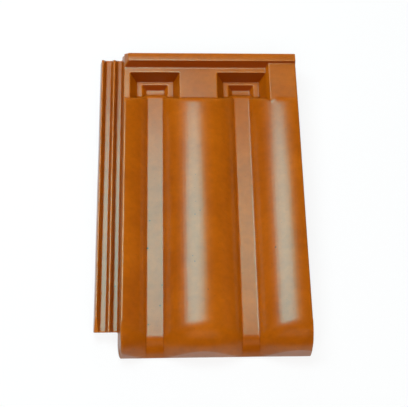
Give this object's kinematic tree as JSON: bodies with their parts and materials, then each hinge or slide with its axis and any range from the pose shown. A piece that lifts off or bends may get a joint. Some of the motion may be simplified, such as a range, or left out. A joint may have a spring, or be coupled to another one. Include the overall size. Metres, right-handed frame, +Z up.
{
  "type": "clay roof tile",
  "caption": "Interlocking pressed clay roof tile with flat pans, rounded rolls, a grooved side lock, a head rib with stepped drain pockets and hanging nibs.",
  "frame": {"origin": "centre of the bounding box at floor level, the tile lying top side up on its nose lip and hanging nibs", "axes": "+X across the tile from the grooved side lock to the covering edge, +Y up the roof from nose to head, +Z up"},
  "size_m": [0.2056, 0.3358, 0.043],
  "materials": {
    "glazed_clay": "glossy honey-orange glaze over fired clay"
  },
  "bodies": {
    "root": {"roof_tile": "glazed_clay"}
  },
  "joints": []
}
